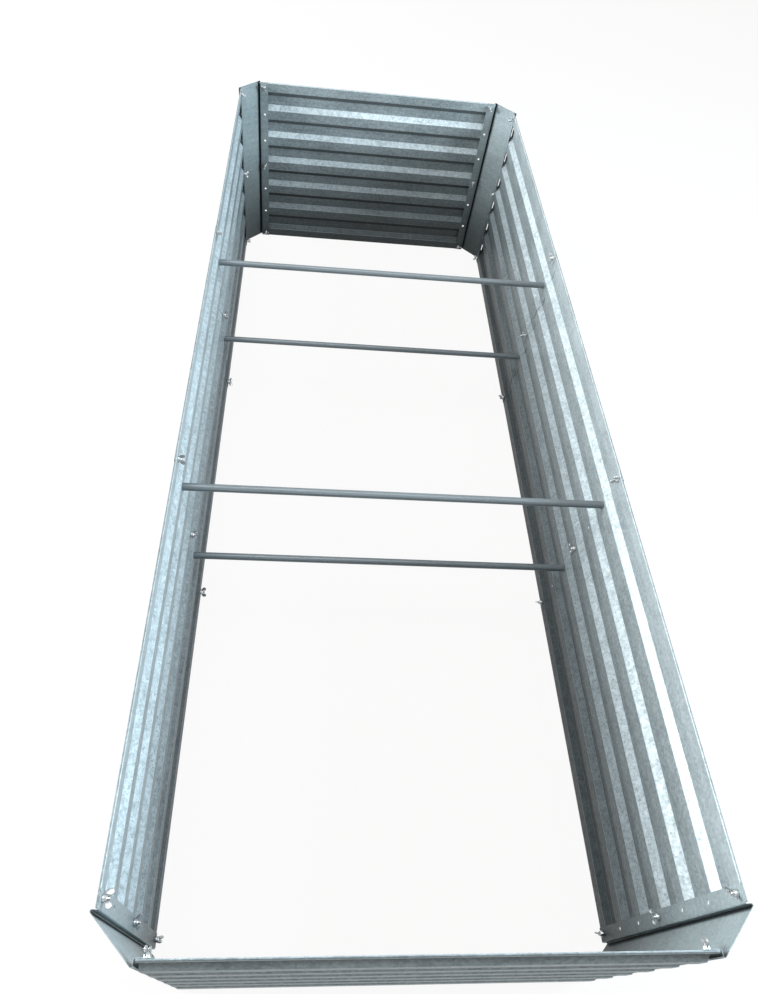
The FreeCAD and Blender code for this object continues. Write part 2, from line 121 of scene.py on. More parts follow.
# %% One material
class Finish:
    """A material with a Principled shader, and one method that makes any node."""

    def __init__(self, name, metallic, roughness):
        self.material = bpy.data.materials.new(name)
        self.material.use_nodes = True
        self.tree = self.material.node_tree
        self.shader = self.tree.nodes["Principled BSDF"]
        self.shader.inputs["Metallic"].default_value = metallic
        self.shader.inputs["Roughness"].default_value = roughness
        self.shader.inputs["Specular IOR Level"].default_value = 0.3
        self.place = self.node("ShaderNodeTexCoord", output="Object")
        self.normal = self.node("ShaderNodeNewGeometry", output="Normal")

    def node(self, kind, settings=None, inputs=None, output=0):
        made = self.tree.nodes.new(kind)
        for name, value in (settings or {}).items():
            setattr(made, name, value)
        for name, value in (inputs or {}).items():
            self.link(made.inputs[name], value)
        return Value(self, made.outputs[output])

    def link(self, socket, value):
        if isinstance(value, Value):
            self.tree.links.new(value.socket, socket)
        else:
            socket.default_value = value

    def noise(self, scale, detail=2.0, stretch=(1, 1, 1)):
        """Noise at so many waves a metre; stretch multiplies the scale along X, Y and Z."""
        place = self.node("ShaderNodeMapping", {}, {"Vector": self.place, "Scale": stretch})
        return self.node("ShaderNodeTexNoise", {}, {"Vector": place, "Scale": scale, "Detail": detail})

    def part(self, vector, axis):
        return self.node("ShaderNodeSeparateXYZ", {}, {0: vector}, output="XYZ".index(axis))

    def pick(self, which, one, other):
        """The MINIMUM or the MAXIMUM of two numbers."""
        return self.node("ShaderNodeMath", {"operation": which}, {0: one, 1: other})

    def inside(self):
        """1 on faces that look towards the middle of the bed, 0 on the others."""
        flat = self.node("ShaderNodeVectorMath", {"operation": "MULTIPLY"}, {0: self.place, 1: (1, 1, 0)})
        outward = self.node("ShaderNodeVectorMath", {"operation": "DOT_PRODUCT"}, {0: self.normal, 1: flat},
                            output="Value")
        return 1 - outward.between(-0.1, 0.1)

    def mix(self, factor, low, high):
        """Two colours mixed by a factor."""
        low, high = [(*c, 1.0) if isinstance(c, tuple) else c for c in (low, high)]
        return self.node("ShaderNodeMix", {"data_type": "RGBA"}, {0: factor, 6: low, 7: high}, output=2)

    def bump(self, height, strength, distance):
        inputs = {"Height": height, "Strength": strength, "Distance": distance}
        self.link(self.shader.inputs["Normal"], self.node("ShaderNodeBump", {}, inputs))

    def set(self, **sockets):
        for name, value in sockets.items():
            self.link(self.shader.inputs[name.replace("_", " ")], value)


print("a finish knows how to", [name for name in vars(Finish) if not name.startswith("_")])

# %% [markdown]
# Galvanised sheet is steel with a skin of zinc. The zinc froze in crystals a few millimetres wide,
# and each crystal turns its own way, so neighbours differ a little in brightness and in gloss: that
# is the spangle. Cells of Voronoi noise are such crystals, and each cell's random colour gives two
# numbers, its tone and its gloss. Over them lie finer grains, long faint streaks from the rollers,
# and pale and dark clouds where the zinc has begun to weather.


# %% Clean zinc
def crystals(finish, size):
    """A random tone and a random gloss for each crystal."""
    cells = {"Vector": finish.place, "Scale": 1 / size, "Randomness": 1.0}
    colour = finish.node("ShaderNodeTexVoronoi", {"feature": "F1"}, cells, output="Color")
    return [finish.node("ShaderNodeSeparateColor", {}, {0: colour}, output=channel) for channel in (0, 1)]


def zinc_shade(finish, tone, grain, clouds):
    """How pale clean zinc is, from 0 to 1."""
    streaks = finish.noise(26, 4.0, stretch=(0.25, 0.25, 5)).between(0.35, 0.75)
    warp = finish.noise(120, 1.0)
    return 0.34 * tone + 0.20 * clouds + 0.26 * grain + 0.14 * streaks + 0.06 * warp


# %% [markdown]
# Some marks follow the shape. Inside the bed, dust lies on the slants that face up, and they are painted
# paler as light from above would leave them; the slants that face down and the walls towards the ground are
# darkened with painted shade, and the long walls are painted paler near their rim, as light would. Outside,
# painted shade lies in the valleys between the ribs. The folds get a painted highlight on both sides. A
# painter would brush each mark on, but all of them follow the height and the direction of a face, so they
# are read from the place and the normal instead: they need no image, and they stay right from every side.


# %% Dust, painted light and painted shade
# The colour of the painted shade.
PAINTED_SHADE_COLOUR = (0.012, 0.015, 0.016)


def dust_and_painted_light(finish, up, tone):
    """Patchy, speckled dust and painted light on slants that face up, mostly inside: the slants are painted
    paler, as light from above would leave them.
    """
    ledge = up.between(0.25, 0.55) * (1 - up.between(0.72, 0.90))
    patches = finish.noise(14, 3.0, stretch=(0.5, 0.5, 1)).between(0.30, 0.70)
    blotches = finish.noise(75, 3.0).between(0.40, 0.62)
    flecks = finish.noise(300, 3.0).between(0.54, 0.64)
    cover = 0.32 + 0.20 * patches + 0.26 * tone + 0.24 * blotches
    return ledge * cover * (0.15 + 0.85 * finish.inside()) * (1 - 0.65 * flecks)


def painted_low_shade(finish, up):
    """Painted shade inside: darker on the slants that face down and towards the ground."""
    under = (0 - up).between(0.25, 0.55)
    low = 1 - finish.part(finish.place, "Z").between(-0.08, 0.50)
    return (0.88 * low + 0.60 * under) * finish.inside()


def painted_rim_light(finish):
    """Painted light: 1 near the rim of the two long walls, inside, where they are painted paler."""
    side_wall = abs(finish.part(finish.normal, "X")).between(0.6, 0.8)
    return finish.part(finish.place, "Z").between(0.45, 0.54) * side_wall * finish.inside()


def painted_fold_highlight(finish, up):
    """Painted highlight along the folds, strongest on the outer side. Only a bend has normals between a
    flat's and a slant's.
    """
    fold = up.between(0.05, 0.20) * (1 - up.between(0.40, 0.56))
    return fold * (0.85 - 0.5 * finish.inside())


# %% Painted shade in valleys and grooves
def painted_valley_shade(finish):
    """Painted shade at the bottom of the valleys between the ribs, on the outer side, and none on the ribs.
    """
    out = finish.pick("MAXIMUM", abs(finish.part(finish.place, "X")) - SIDE_WALL,
                      abs(finish.part(finish.place, "Y")) - END_WALL)
    return 0.45 * (1 - out.between(0.2 * RIB_DEPTH, 0.95 * RIB_DEPTH)) * (1 - finish.inside())


def painted_groove_shade(finish):
    """Painted shade in the sharp groove behind each jog of a corner piece, on its inner side."""
    depth = finish.pick("MINIMUM", HALF_WIDTH - abs(finish.part(finish.place, "X")),
                        HALF_LENGTH - abs(finish.part(finish.place, "Y")))
    return (1 - depth.between(0.5 * CORNER_JOG, 0.95 * CORNER_JOG)) * finish.inside()


# %% Galvanised sheet
ZINC_METALLIC, ZINC_ROUGHNESS = 0.2, 0.46


def galvanised(name, dark, pale, dust_and_highlight_colour, crystal_size, painted_hollow_shade):
    """Clean zinc from dark to pale, then dust with painted light and painted fold highlights in a pale
    colour, and painted shade.
    """
    finish = Finish(name, ZINC_METALLIC, ZINC_ROUGHNESS)
    tone, gloss = crystals(finish, crystal_size)
    grain = finish.noise(900, 3.0)
    clouds = finish.noise(9, 5.0).between(0.32, 0.70)
    up = finish.part(finish.normal, "Z")
    # Painted light: the long walls are painted paler near their rim.
    shade = zinc_shade(finish, tone, grain, clouds) + 0.30 * painted_rim_light(finish)
    colour = finish.mix(shade, dark, pale)
    # Dust and painted light: slants that face up are mixed towards a pale colour.
    colour = finish.mix(dust_and_painted_light(finish, up, tone), colour, dust_and_highlight_colour)
    # Painted shade under the ribs and towards the ground, inside.
    colour = finish.mix(painted_low_shade(finish, up), colour, PAINTED_SHADE_COLOUR)
    # Painted shade in the valleys outside, or in the grooves of a corner piece.
    colour = finish.mix(painted_hollow_shade(finish), colour, PAINTED_SHADE_COLOUR)
    # Painted highlight along the folds.
    colour = finish.mix(painted_fold_highlight(finish, up), colour, dust_and_highlight_colour)
    finish.set(Base_Color=colour, Roughness=ZINC_ROUGHNESS - 0.10 + 0.16 * gloss + 0.08 * clouds)
    finish.bump(grain * 0.5 + tone * 0.5, strength=0.25, distance=0.4 * MM)
    print(name, "has", len(finish.tree.nodes), "nodes")
    return finish.material


PANEL_FINISH = galvanised("panel_zinc", dark=(0.12, 0.15, 0.16), pale=(0.42, 0.49, 0.51),
                          dust_and_highlight_colour=(0.68, 0.78, 0.82), crystal_size=5 * MM, painted_hollow_shade=painted_valley_shade)
CORNER_FINISH = galvanised("corner_zinc", dark=(0.19, 0.235, 0.245), pale=(0.42, 0.50, 0.52),
                           dust_and_highlight_colour=(0.56, 0.64, 0.67), crystal_size=4 * MM, painted_hollow_shade=painted_groove_shade)

# %% [markdown]
# The rods are drawn tube, so their zinc is smooth and lies in fine lines along them. The fasteners
# are plated bright: nearly a mirror, with a slight mottle.

# %% Tube and bright zinc
tube = Finish("tube_zinc", metallic=0.35, roughness=0.4)
lines = tube.noise(60, 3.0, stretch=(0.15, 8, 8))
mottle = tube.noise(300, 3.0)
tube.set(Base_Color=tube.mix(0.6 * lines + 0.4 * mottle, (0.09, 0.11, 0.12), (0.30, 0.34, 0.36)),
         Roughness=0.30 + 0.2 * mottle)
tube.bump(lines, strength=0.15, distance=0.3 * MM)
TUBE_FINISH = tube.material

bright = Finish("bright_zinc", metallic=0.85, roughness=0.28)
mottle = bright.noise(700, 3.0)
bright.set(Base_Color=bright.mix(mottle, (0.24, 0.26, 0.27), (0.66, 0.68, 0.69)),
           Roughness=0.18 + 0.22 * mottle)
bright.bump(mottle, strength=0.15, distance=0.2 * MM)
FASTENER_FINISH = bright.material
print("materials:", [m.name for m in bpy.data.materials])

# %% [markdown]
# Panels and corner pieces are the same kind of thing: a long strip of flat sheet, folded along
# lines. So one Geometry Nodes tree makes both. It takes the fold line, a curve with sharp corners
# whose point radius says how tight each fold is, and rounds it. It then draws the curve out along
# the strip, gives the surface its thickness and cuts the bolt holes with cylinders. A mesh modelled
# by hand would do for one panel, but the tree takes any fold line, and its sizes stay inputs.


# %% Building node trees
def add_node(tree, kind, settings=None, inputs=None):
    made = tree.nodes.new(kind)
    for name, value in (settings or {}).items():
        setattr(made, name, value)
    for name, value in (inputs or {}).items():
        if isinstance(value, bpy.types.NodeSocket):
            tree.links.new(value, made.inputs[name])
        else:
            made.inputs[name].default_value = value
    return made


def new_tree(name, inputs):
    """A tree with these named inputs; gives the tree, its input sockets and its output node."""
    tree = bpy.data.node_groups.new(name, "GeometryNodeTree")
    tree.interface.new_socket("Geometry", in_out="INPUT", socket_type="NodeSocketGeometry")
    for title, kind in inputs:
        tree.interface.new_socket(title, in_out="INPUT", socket_type=kind)
    tree.interface.new_socket("Geometry", in_out="OUTPUT", socket_type="NodeSocketGeometry")
    return tree, tree.nodes.new("NodeGroupInput").outputs, tree.nodes.new("NodeGroupOutput")


def grow(source, tree, name, values):
    """Run a tree on an object and keep the result as a plain mesh object."""
    modifier = source.modifiers.new("tree", "NODES")
    modifier.node_group = tree
    for item in tree.interface.items_tree:
        if item.in_out == "INPUT" and item.name in values:
            modifier[item.identifier] = values[item.name]
    source.update_tag()
    bpy.context.view_layer.update()
    evaluated = source.evaluated_get(bpy.context.evaluated_depsgraph_get())
    mesh = bpy.data.meshes.new_from_object(evaluated)
    bpy.data.objects.remove(source)
    mesh.name = name
    return new_object(name, mesh)


def new_object(name, data):
    made = bpy.data.objects.new(name, data)
    bpy.context.scene.collection.objects.link(made)
    return made


# %% The tree for folded sheet
BEND_STEPS, HOLE_SIDES, DRILL_LENGTH, SAME_PLACE = 5, 24, 40 * MM, 0.001 * MM


def sheet_shell(tree, given):
    """The fold line rounded, drawn out and given its thickness; both faces share their rims."""
    bend = add_node(tree, "GeometryNodeInputRadius")
    rounded = add_node(tree, "GeometryNodeFilletCurve", {"mode": "POLY"},
                       {"Curve": given["Geometry"], "Radius": bend.outputs[0], "Count": BEND_STEPS})
    line = add_node(tree, "GeometryNodeCurveToMesh", {}, {"Curve": rounded.outputs[0]})
    along = add_node(tree, "ShaderNodeCombineXYZ", {}, {"Y": given["Length"]})
    surface = add_node(tree, "GeometryNodeExtrudeMesh", {"mode": "EDGES"},
                       {"Mesh": line.outputs[0], "Offset": along.outputs[0], "Offset Scale": 1.0})
    back = add_node(tree, "GeometryNodeFlipFaces", {}, {"Mesh": surface.outputs[0]})
    front = add_node(tree, "GeometryNodeExtrudeMesh", {"mode": "FACES"},
                     {"Mesh": surface.outputs[0], "Offset Scale": given["Metal"], "Individual": False})
    join = add_node(tree, "GeometryNodeJoinGeometry")
    tree.links.new(back.outputs[0], join.inputs[0])
    tree.links.new(front.outputs[0], join.inputs[0])
    return add_node(tree, "GeometryNodeMergeByDistance", {},
                    {"Geometry": join.outputs[0], "Distance": SAME_PLACE})


def drills(tree, given):
    """A column of cylinders through each marked point, one for each row of holes."""
    drill = add_node(tree, "GeometryNodeMeshCylinder", {},
                     {"Vertices": HOLE_SIDES, "Radius": given["Hole Radius"], "Depth": DRILL_LENGTH})
    columns = add_node(tree, "GeometryNodeObjectInfo", {}, {"Object": given["Holes"]})
    facing = add_node(tree, "GeometryNodeInputNamedAttribute", {"data_type": "FLOAT_VECTOR"},
                      {"Name": "facing"})
    turn = add_node(tree, "FunctionNodeEulerToRotation", {}, {"Euler": facing.outputs[0]})
    first = add_node(tree, "GeometryNodeInstanceOnPoints", {},
                     {"Points": columns.outputs["Geometry"], "Instance": drill.outputs[0],
                      "Rotation": turn.outputs[0]})
    first_row = add_node(tree, "GeometryNodeRealizeInstances", {}, {"Geometry": first.outputs[0]})
    levels = add_node(tree, "GeometryNodeMeshLine", {"mode": "OFFSET"},
                      {"Count": given["Rows"], "Offset": given["Row Step"]})
    rows = add_node(tree, "GeometryNodeInstanceOnPoints", {},
                    {"Points": levels.outputs[0], "Instance": first_row.outputs[0]})
    return add_node(tree, "GeometryNodeRealizeInstances", {}, {"Geometry": rows.outputs[0]})


def folded_sheet_tree():
    inputs = [(name, "NodeSocketFloat") for name in ("Length", "Metal", "Hole Radius")]
    inputs += [("Rows", "NodeSocketInt"), ("Row Step", "NodeSocketVector"), ("Holes", "NodeSocketObject"),
               ("Trim", "NodeSocketObject"), ("Finish", "NodeSocketMaterial")]
    tree, given, out = new_tree("folded sheet", inputs)
    shell, cutters = sheet_shell(tree, given), drills(tree, given)
    trim = add_node(tree, "GeometryNodeObjectInfo", {}, {"Object": given["Trim"]})
    drilled = add_node(tree, "GeometryNodeMeshBoolean", {"operation": "DIFFERENCE"},
                       {"Mesh 1": shell.outputs[0]})
    tree.links.new(cutters.outputs[0], drilled.inputs["Mesh 2"])
    tree.links.new(trim.outputs["Geometry"], drilled.inputs["Mesh 2"])
    real = add_node(tree, "GeometryNodeRealizeInstances", {}, {"Geometry": drilled.outputs[0]})
    dressed = add_node(tree, "GeometryNodeSetMaterial", {},
                       {"Geometry": real.outputs[0], "Material": given["Finish"]})
    tree.links.new(dressed.outputs[0], out.inputs[0])
    return tree


FOLDED_SHEET = folded_sheet_tree()
print("the folded sheet tree has", len(FOLDED_SHEET.nodes), "nodes")


# %% What the tree works on
def fold_line(name, corners):
    """A poly curve through (point, bend radius) pairs."""
    curve = bpy.data.curves.new(name, "CURVE")
    curve.dimensions = "3D"
    spline = curve.splines.new("POLY")
    spline.points.add(len(corners) - 1)
    for spot, (place, radius) in zip(spline.points, corners):
        spot.co, spot.radius = (*place, 1.0), radius
    return new_object(name, curve)


def marked_points(name, places, facing):
    """Loose points, each with the three angles by which what stands on it is turned."""
    mesh = bpy.data.meshes.new(name)
    mesh.from_pydata(places, [], [])
    attribute = mesh.attributes.new("facing", "FLOAT_VECTOR", "POINT")
    for item, angles in zip(attribute.data, facing):
        item.vector = angles
    return new_object(name, mesh)


def boxes(name, ranges):
    """An object of plain boxes, each given as (lowest corner, highest corner)."""
    made = bmesh.new()
    for low, high in ranges:
        middle, size = (Vector(low) + Vector(high)) / 2, Vector(high) - Vector(low)
        stretch = Matrix.Diagonal((*size, 1))
        bmesh.ops.create_cube(made, size=1.0, matrix=Matrix.Translation(middle) @ stretch)
    mesh = bpy.data.meshes.new(name)
    made.to_mesh(mesh)
    made.free()
    return new_object(name, mesh)


# %% [markdown]
# Light shows how sheet was bent: it slides round a bend, and lies evenly on the flat between two
# bends. So only the narrow faces of a bend are shaded round, and the wide ones stay flat. Round
# shading over the wide ones too would paint false highlights along every rib.

# %% Folding and keeping a sheet
NARROW = 2 * MM  # faces narrower than this belong to a bend
SHARP_SHEET_EDGE = math.radians(30)


def folded_sheet(name, corners, holes, facing, finish, metal, length, row_step, trim=None):
    """Fold a strip and drill it. It comes out in its own frame."""
    columns = marked_points(f"{name}_holes", holes, facing)
    sheet = grow(fold_line(name, corners), FOLDED_SHEET, name, {
        "Length": length, "Metal": metal, "Hole Radius": HOLE_RADIUS, "Rows": len(ROWS),
        "Row Step": row_step, "Holes": columns, "Trim": trim, "Finish": finish})
    spots = sheet.data.vertices
    for face in sheet.data.polygons:
        longest = max((spots[a].co - spots[b].co).length for a, b in face.edge_keys)
        face.use_smooth = face.area / longest < NARROW
    sheet.data.set_sharp_from_angle(angle=SHARP_SHEET_EDGE)
    for helper in (columns, trim):
        if helper:
            bpy.data.objects.remove(helper)
    return sheet


def keep(piece, node):
    """A finished piece stands for its CAD node: it is hung under the root body, and the node is hidden."""
    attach(piece, "root")
    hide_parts(node)


# %% Places on the walls
HALF_PI = math.pi / 2
WALLS = ("right", "far", "left", "near")


def quarter_turn(names, name):
    """Names stand in the order in which quarter turns to the left reach them."""
    return Matrix.Rotation(math.radians(360 / len(names) * names.index(name)), 4, "Z")


def on_wall(wall, out, along, height):
    """A point on a wall: out from its inner face, and along towards +X or +Y."""
    sign = 1 if wall in ("right", "far") else -1
    if wall in ("right", "left"):
        return Vector((sign * (SIDE_WALL + out), along, height))
    return Vector((along, sign * (END_WALL + out), height))


# %% [markdown]
# A panel is rolled to six outward ribs and its long edges are folded back outside, so that no hand
# meets raw metal. The fold line below climbs the soil face: the lower hem, then each rib by the same
# four folds, then the upper hem. Where two side panels lap, the inner one has its hems cut back.

# %% Corrugated panels
CUT_CLEARANCE, CUT_PAST_SHEET = 2 * MM, 0.3 * MM
HEM_BEND = HEM_DEPTH / 2 * 0.999  # a hair under half its depth, so that its two bends don't meet


def panel_folds():
    tight, wide = RIB_BEND, RIB_BEND + PANEL_SHEET
    y, top = -PANEL_LENGTH / 2, BED_HEIGHT
    folds = [((HEM_DEPTH, y, HEM_HEIGHT), 0), ((HEM_DEPTH, y, 0), HEM_BEND), ((0, y, 0), HEM_BEND)]
    for row in ROWS[:-1]:
        flat_end, next_flat = row + INNER_FLAT / 2, row + PITCH - INNER_FLAT / 2
        folds += [((0, y, flat_end), wide), ((RIB_DEPTH, y, flat_end + SLANT_HEIGHT), tight),
                  ((RIB_DEPTH, y, next_flat - SLANT_HEIGHT), tight), ((0, y, next_flat), wide)]
    folds += [((0, y, top), HEM_BEND), ((HEM_DEPTH, y, top), HEM_BEND)]
    return folds + [((HEM_DEPTH, y, top - HEM_HEIGHT), 0)]


def hem_cut(lap_side):
    """Boxes that take both hems off one end of a panel, just outside its sheet."""
    start, end = sorted((lap_side * (HOLE_COLUMN - HOLE_INSET - CUT_CLEARANCE), lap_side * PANEL_LENGTH))
    reach = HEM_HEIGHT + CUT_CLEARANCE
    return boxes("hem_cut", [((PANEL_SHEET + CUT_PAST_SHEET, start, z - reach), (RIB_DEPTH, end, z + reach))
                             for z in (0, BED_HEIGHT)])


def make_panel(node, wall, out, along, lap_side):
    """lap_side is the end with cut hems, -1 or 1, or 0 for neither."""
    holes = [(0, side * HOLE_COLUMN, ROWS[0]) for side in (-1, 1)]
    trim = hem_cut(lap_side) if lap_side else None
    panel = folded_sheet(f"fine_{node}", panel_folds(), holes, [(0, HALF_PI, 0)] * len(holes), PANEL_FINISH,
                         PANEL_SHEET, PANEL_LENGTH, (0, 0, PITCH), trim)
    panel.data.transform(Matrix.Translation(on_wall(wall, out, along, 0)) @ quarter_turn(WALLS, wall))
    keep(panel, node)
    return panel


for end in ("near", "far"):
    make_panel(f"end_panel_{end}", end, 0, 0, 0)
for side, mirror in (("left", -1), ("right", 1)):
    for spot, sign in (("near", -1), ("middle", 0), ("far", 1)):
        out = LAP_STEP if spot == "middle" else 0
        made = make_panel(f"side_panel_{side}_{spot}", side, out, sign * OUTER_PANEL_PLACE, -sign * mirror)
print("a side panel has", len(made.data.polygons), "faces")

# %% [markdown]
# A corner piece is one strip with four folds: a flange for the end panel, a jog outwards, the flat
# chamfer, a jog back and a flange for the side panel. Boxes joined together could give its outline,
# but only a folded strip has true bends and one thickness. The same tree makes it, lying down, and
# it is stood up afterwards.

# %% Corner pieces
CORNERS = (("far", "right"), ("far", "left"), ("near", "left"), ("near", "right"))
END_GAP = 2 * MM
FLANGE_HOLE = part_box("corner_far_right")[0].y + FLANGE_WIDTH - HALF_LENGTH - END_GAP - HOLE_INSET


def corner_folds():
    leg, jog, end = -CORNER_LEG, -CORNER_JOG, -CORNER_LEG - FLANGE_WIDTH
    tight, wide = CORNER_BEND, CORNER_BEND + CORNER_SHEET
    plan = [(end, jog, 0), (leg, jog, tight), (leg, 0, wide)]
    plan += [(0, leg, wide), (jog, leg, tight), (jog, end, 0)]
    return [((x, -BED_HEIGHT / 2, y), radius) for x, y, radius in plan]


def make_corner(end, side):
    node = f"corner_{end}_{side}"
    first_row = BED_HEIGHT / 2 - ROWS[0]
    holes = [(-CORNER_JOG, first_row, FLANGE_HOLE), (FLANGE_HOLE, first_row, -CORNER_JOG)]
    facing = [(0, HALF_PI, 0), (0, 0, 0)]
    corner = folded_sheet(f"fine_{node}", corner_folds(), holes, facing, CORNER_FINISH, CORNER_SHEET,
                          BED_HEIGHT, (0, -PITCH, 0))
    x_sign, y_sign = (1 if side == "right" else -1), (1 if end == "far" else -1)
    stand = Matrix.Rotation(-HALF_PI, 4, "X")
    place = Matrix.Translation((x_sign * HALF_WIDTH, y_sign * HALF_LENGTH, BED_HEIGHT / 2))
    corner.data.transform(place @ quarter_turn(CORNERS, (end, side)) @ stand)
    keep(corner, node)
    return corner


for end, side in CORNERS:
    made = make_corner(end, side)
print("a corner piece has", len(made.data.polygons), "faces")

# %% [markdown]
# Bolts, wing nuts and rods are turned parts. One helper spins a profile of (place along X, radius)
# pairs; a wing is a thin plate with a round tip, and its edges are bevelled. A thread is drawn as
# rings, not as a helix: at this size nobody can tell them apart, and rings close by themselves.


# %% Turned parts
def turned(shape, profile, segments, closed=False):
    """Spin (x, radius) pairs about X into a bmesh. A radius of 0 closes an end; closed joins the
    last pair to the first, as in a ring."""
    rings = []
    for x, radius in profile:
        count = 1 if radius == 0 else segments
        angles = [2 * math.pi * i / segments for i in range(count)]
        rings.append([shape.verts.new((x, radius * math.cos(a), radius * math.sin(a))) for a in angles])
    pairs = zip(rings, rings[1:] + rings[:1]) if closed else zip(rings, rings[1:])
    for ring, other in pairs:
        for i in range(segments):
            j = (i + 1) % segments
            corners = [ring[i % len(ring)], ring[j % len(ring)]]
            corners += [other[j % len(other)], other[i % len(other)]]
            shape.faces.new(list(dict.fromkeys(corners)))


def plate(shape, outline, thickness):
    """A flat plate in the XZ plane through (x, z) points."""
    back = [shape.verts.new((x, -thickness / 2, z)) for x, z in outline]
    front = [shape.verts.new((x, thickness / 2, z)) for x, z in outline]
    shape.faces.new(back)
    shape.faces.new(front[::-1])
    for i in range(len(outline)):
        j = (i + 1) % len(outline)
        shape.faces.new((back[j], back[i], front[i], front[j]))


SHARP_PART_EDGE, BEVELLED_EDGE = math.radians(40), math.radians(50)


def finish_shape(shape, name, bevel=0.0):
    """Turn a bmesh into an object, with outward normals, small bevels and smooth round faces."""
    bmesh.ops.recalc_face_normals(shape, faces=shape.faces)
    if bevel:
        between_two = [edge for edge in shape.edges if len(edge.link_faces) == 2]
        sharp = [edge for edge in between_two if edge.calc_face_angle() > BEVELLED_EDGE]
        bmesh.ops.bevel(shape, geom=sharp, offset=bevel, segments=2, affect="EDGES", profile=0.5)
    mesh = bpy.data.meshes.new(name)
    shape.to_mesh(mesh)
    shape.free()
    for face in mesh.polygons:
        face.use_smooth = True
    mesh.set_sharp_from_angle(angle=SHARP_PART_EDGE)
    return new_object(name, mesh)


# %% Wing nut
BORE_RADIUS, WING_THICKNESS, WING_BEVEL = 3.15 * MM, 2.2 * MM, 0.35 * MM
LOBE_X, LOBE_Z, LOBE_RADIUS = -9.4 * MM, 8.4 * MM, 4.6 * MM


def wing_outline(side):
    """One wing: it leaves the boss low down and ends in a round lobe."""
    spots = [(-1.2 * MM, 4.6 * MM)]
    for degrees in range(-50, 171, 20):
        a = math.radians(degrees)
        spots.append((LOBE_X - LOBE_RADIUS * math.sin(a), LOBE_Z + LOBE_RADIUS * math.cos(a)))
    spots.append((-6.2 * MM, 4.6 * MM))
    return [(x, side * z) for x, z in spots]


def make_wing_nut():
    shape = bmesh.new()
    seat, top, height = 6.0 * MM, 5.0 * MM, 7.0 * MM
    turned(shape, [(0, BORE_RADIUS), (0, seat - 0.4 * MM), (-0.4 * MM, seat), (-1.4 * MM, seat),
                   (-height + 0.8 * MM, top), (-height, top - 0.7 * MM), (-height, BORE_RADIUS + 0.4 * MM),
                   (-height + 0.6 * MM, BORE_RADIUS)], 20, closed=True)
    for side in (1, -1):
        plate(shape, wing_outline(side), WING_THICKNESS)
    return finish_shape(shape, "wing_nut", bevel=WING_BEVEL)


WING_NUT = make_wing_nut()
print("wing nut", len(WING_NUT.data.polygons), "faces")

# %% Bolts
SHANK_RADIUS, THREAD_DEPTH, THREAD_PITCH = 3.0 * MM, 0.45 * MM, 1.0 * MM
# Half the outline of the head, from its top to its seat: height and radius in millimetres.
HEAD = [(3.0, 0), (2.95, 2.4), (2.6, 4.0), (1.7, 5.3), (0.7, 5.95), (0.0, 5.6), (0.0, 3.0)]
RECESS_ARM, RECESS_HALF_WIDTH, RECESS_FLOOR, PAST_HEAD = 2.3 * MM, 0.45 * MM, 1.2 * MM, 5 * MM


def cut_cross(bolt):
    """A cross recess in the head, with the cut kept in the mesh."""
    arms = ((RECESS_ARM, RECESS_HALF_WIDTH), (RECESS_HALF_WIDTH, RECESS_ARM))
    cutter = boxes("recess", [((RECESS_FLOOR, -y, -z), (PAST_HEAD, y, z)) for y, z in arms])
    cut = bolt.modifiers.new("recess", "BOOLEAN")
    cut.object, cut.operation, cut.use_self = cutter, "DIFFERENCE", True
    bpy.context.view_layer.update()
    cut_mesh = bpy.data.meshes.new_from_object(bolt.evaluated_get(bpy.context.evaluated_depsgraph_get()))
    bolt.modifiers.clear()
    bolt.data = cut_mesh
    bpy.data.objects.remove(cutter)


def make_bolt(name, length):
    """A pan head with a cross recess, on a threaded shank."""
    profile = [(x * MM, r * MM) for x, r in HEAD]
    for i in range(round(length / THREAD_PITCH) - 2):
        x = -1.2 * MM - i * THREAD_PITCH
        profile += [(x, SHANK_RADIUS), (x - THREAD_PITCH / 2, SHANK_RADIUS - THREAD_DEPTH)]
    profile += [(-length + 0.7 * MM, SHANK_RADIUS - 0.1 * MM), (-length, SHANK_RADIUS - 0.8 * MM)]
    profile += [(-length, 0)]
    shape = bmesh.new()
    turned(shape, profile, 16)
    bolt = finish_shape(shape, name)
    cut_cross(bolt)
    return bolt


SHORT_BOLT, ROD_BOLT = make_bolt("short_bolt", 12 * MM), make_bolt("rod_bolt", 25 * MM)
print("short bolt", len(SHORT_BOLT.data.polygons), "faces, rod bolt", len(ROD_BOLT.data.polygons))

# %% [markdown]
# The same bolt and nut sit at dozens of places, which is what instancing is for. Each place is a
# loose point that carries its rotation; the tree puts a copy of the part on every point.


# %% Setting fasteners
def set_on_points_tree():
    inputs = [("Part", "NodeSocketObject"), ("Finish", "NodeSocketMaterial")]
    tree, given, out = new_tree("set on points", inputs)
    part = add_node(tree, "GeometryNodeObjectInfo", {}, {"Object": given["Part"]})
    facing = add_node(tree, "GeometryNodeInputNamedAttribute", {"data_type": "FLOAT_VECTOR"},
                      {"Name": "facing"})
    turn = add_node(tree, "FunctionNodeEulerToRotation", {}, {"Euler": facing.outputs[0]})
    copies = add_node(tree, "GeometryNodeInstanceOnPoints", {},
                      {"Points": given["Geometry"], "Instance": part.outputs["Geometry"],
                       "Rotation": turn.outputs[0]})
    real = add_node(tree, "GeometryNodeRealizeInstances", {}, {"Geometry": copies.outputs[0]})
    dressed = add_node(tree, "GeometryNodeSetMaterial", {},
                       {"Geometry": real.outputs[0], "Material": given["Finish"]})
    tree.links.new(dressed.outputs[0], out.inputs[0])
    return tree


SET_ON_POINTS = set_on_points_tree()


